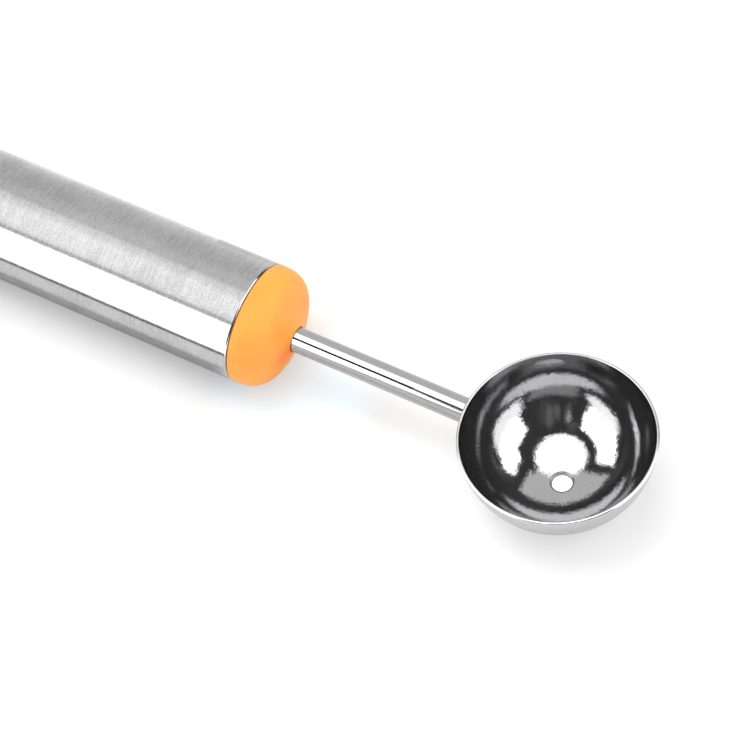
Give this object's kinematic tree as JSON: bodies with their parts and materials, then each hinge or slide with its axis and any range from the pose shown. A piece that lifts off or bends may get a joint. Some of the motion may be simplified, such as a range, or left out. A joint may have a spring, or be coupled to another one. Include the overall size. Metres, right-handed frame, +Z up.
{
  "type": "melon baller",
  "caption": "Melon baller: a round steel scoop with a vent hole, on a steel rod in a tubular steel handle with orange end plugs, the rear one with a hang hole.",
  "frame": {"origin": "on the surface that the tool lies on, halfway along the tool, under its axis", "axes": "+X along the tool towards the scoop, +Z up, out of the open side of the scoop"},
  "size_m": [0.1966, 0.0288, 0.0192],
  "materials": {
    "brushed_tube": "satin, brushed round the girth",
    "orange_plastic": "matt, slightly translucent",
    "polished_rod": "polished, with fine drawn lines along the rod",
    "spring_steel": "plain, pressed",
    "polished_bowl": "mirror polish inside, satin outside",
    "weld_steel": "ground and polished weld"
  },
  "bodies": {
    "root": {"handle_tube": "brushed_tube", "front_plug": "orange_plastic", "rear_plug": "orange_plastic", "shank": "polished_rod", "push_nut": "spring_steel", "scoop_bowl": "polished_bowl", "bowl_weld": "weld_steel"}
  },
  "joints": []
}
